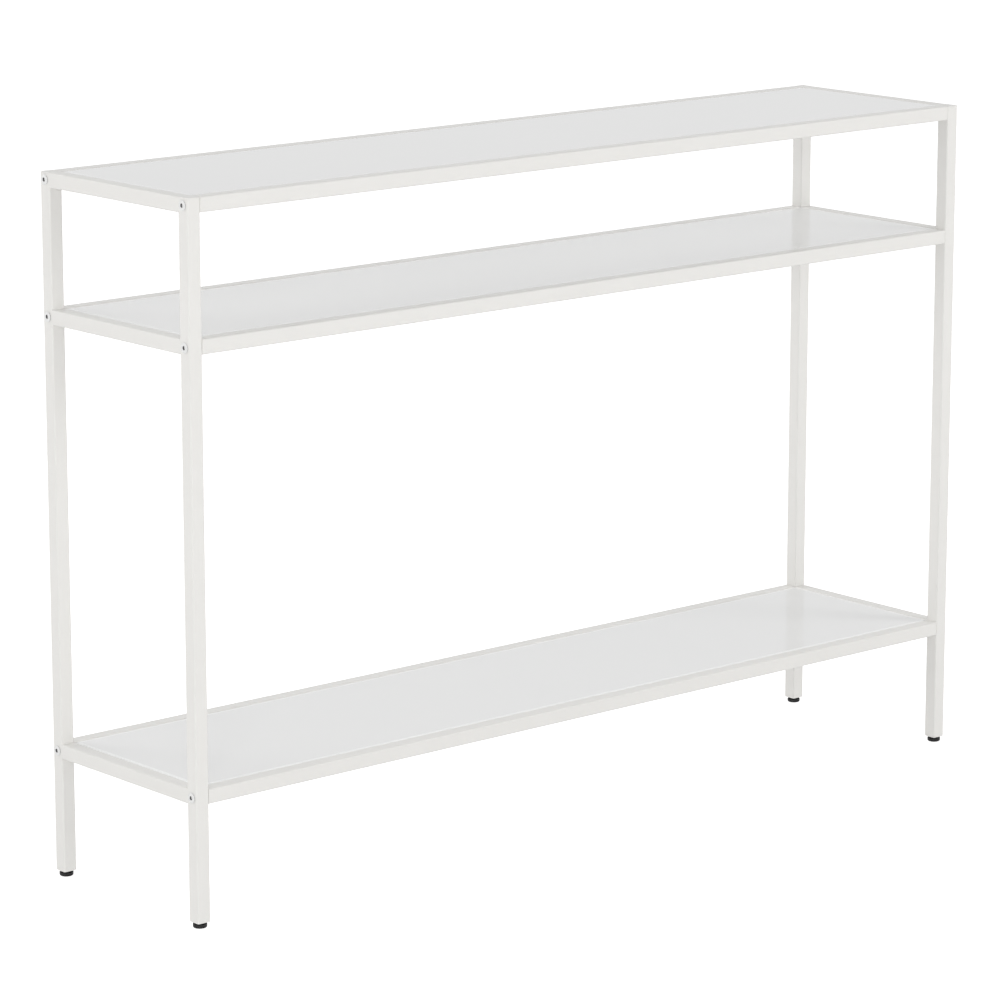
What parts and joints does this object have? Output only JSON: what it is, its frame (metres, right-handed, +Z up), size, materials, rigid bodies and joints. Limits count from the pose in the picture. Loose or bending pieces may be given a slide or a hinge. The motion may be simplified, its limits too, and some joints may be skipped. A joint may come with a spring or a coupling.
{
  "type": "console table",
  "caption": "Long, narrow console table of white square steel tube, with an inset white glass top, a shelf close below it and a low shelf, bolted long rails and black levelling feet.",
  "frame": {"origin": "on the floor, under the centre of the table", "axes": "+X to the right along the length, +Y to the back, +Z up"},
  "size_m": [1.096, 0.25, 0.75],
  "materials": {
    "powder_coat": "satin white powder coat with fine orange peel",
    "white_glass": "opaque milk-white tempered glass, polished face and bevelled edge",
    "coated_screw": "white coated steel, worn bare in the socket",
    "zinc_steel": "bright zinc plate",
    "clear_rubber": "milky soft rubber",
    "insert_plastic": "moulded black nylon",
    "black_plastic": "glossy black moulded plastic"
  },
  "bodies": {
    "frame": {"leg_front_left": "powder_coat", "leg_rear_left": "powder_coat", "leg_front_right": "powder_coat", "leg_rear_right": "powder_coat", "leg_caps": "powder_coat", "end_rail_top_left": "powder_coat", "end_rail_middle_left": "powder_coat", "end_rail_bottom_left": "powder_coat", "end_rail_top_right": "powder_coat", "end_rail_middle_right": "powder_coat", "end_rail_bottom_right": "powder_coat", "long_rail_top_front": "powder_coat", "long_rail_middle_front": "powder_coat", "long_rail_bottom_front": "powder_coat", "long_rail_top_rear": "powder_coat", "long_rail_middle_rear": "powder_coat", "long_rail_bottom_rear": "powder_coat", "nut_plates_left": "zinc_steel", "nut_plates_right": "zinc_steel", "frame_screws_left": "coated_screw", "frame_screws_right": "coated_screw", "panel_tabs_top": "powder_coat", "panel_tabs_middle": "powder_coat", "panel_tabs_bottom": "powder_coat", "bumpers_top": "clear_rubber", "bumpers_middle": "clear_rubber", "bumpers_bottom": "clear_rubber", "foot_insert_front_left": "insert_plastic", "foot_insert_rear_left": "insert_plastic", "foot_insert_front_right": "insert_plastic", "foot_insert_rear_right": "insert_plastic"},
    "top_panel": {"top_panel": "white_glass"},
    "middle_panel": {"middle_panel": "white_glass"},
    "bottom_panel": {"bottom_panel": "white_glass"},
    "foot_stud_front_left": {"foot_stud_front_left": "zinc_steel"},
    "foot_stud_rear_left": {"foot_stud_rear_left": "zinc_steel"},
    "foot_stud_front_right": {"foot_stud_front_right": "zinc_steel"},
    "foot_stud_rear_right": {"foot_stud_rear_right": "zinc_steel"},
    "foot_pad_front_left": {"foot_pad_front_left": "black_plastic"},
    "foot_pad_rear_left": {"foot_pad_rear_left": "black_plastic"},
    "foot_pad_front_right": {"foot_pad_front_right": "black_plastic"},
    "foot_pad_rear_right": {"foot_pad_rear_right": "black_plastic"}
  },
  "joints": [
    {"name": "top_panel_lift", "type": "slide", "parent": "frame", "child": "top_panel", "axis": [0, 0, 1], "range_m": [0, 0.06]},
    {"name": "middle_panel_lift", "type": "slide", "parent": "frame", "child": "middle_panel", "axis": [0, 0, 1], "range_m": [0, 0.12]},
    {"name": "bottom_panel_lift", "type": "slide", "parent": "frame", "child": "bottom_panel", "axis": [0, 0, 1], "range_m": [0, 0.44]},
    {"name": "foot_travel_front_left", "type": "slide", "parent": "frame", "child": "foot_stud_front_left", "axis": [0, 0, -1], "range_m": [-0.001, 0.01]},
    {"name": "foot_turn_front_left", "type": "hinge", "parent": "foot_stud_front_left", "child": "foot_pad_front_left", "pos_m": [-0.5388, -0.117, 0.002], "axis": [0, 0, -1], "range_deg": [-361, 3601]},
    {"name": "foot_travel_rear_left", "type": "slide", "parent": "frame", "child": "foot_stud_rear_left", "axis": [0, 0, -1], "range_m": [-0.001, 0.01]},
    {"name": "foot_turn_rear_left", "type": "hinge", "parent": "foot_stud_rear_left", "child": "foot_pad_rear_left", "pos_m": [-0.5388, 0.117, 0.002], "axis": [0, 0, -1], "range_deg": [-361, 3601]},
    {"name": "foot_travel_front_right", "type": "slide", "parent": "frame", "child": "foot_stud_front_right", "axis": [0, 0, -1], "range_m": [-0.001, 0.01]},
    {"name": "foot_turn_front_right", "type": "hinge", "parent": "foot_stud_front_right", "child": "foot_pad_front_right", "pos_m": [0.5388, -0.117, 0.002], "axis": [0, 0, -1], "range_deg": [-361, 3601]},
    {"name": "foot_travel_rear_right", "type": "slide", "parent": "frame", "child": "foot_stud_rear_right", "axis": [0, 0, -1], "range_m": [-0.001, 0.01]},
    {"name": "foot_turn_rear_right", "type": "hinge", "parent": "foot_stud_rear_right", "child": "foot_pad_rear_right", "pos_m": [0.5388, 0.117, 0.002], "axis": [0, 0, -1], "range_deg": [-361, 3601]}
  ],
  "couplings": [
    {"joint": "foot_turn_front_left", "follows": "foot_travel_front_left", "rad_per_m": 6283.2},
    {"joint": "foot_turn_rear_left", "follows": "foot_travel_rear_left", "rad_per_m": 6283.2},
    {"joint": "foot_turn_front_right", "follows": "foot_travel_front_right", "rad_per_m": 6283.2},
    {"joint": "foot_turn_rear_right", "follows": "foot_travel_rear_right", "rad_per_m": 6283.2}
  ]
}
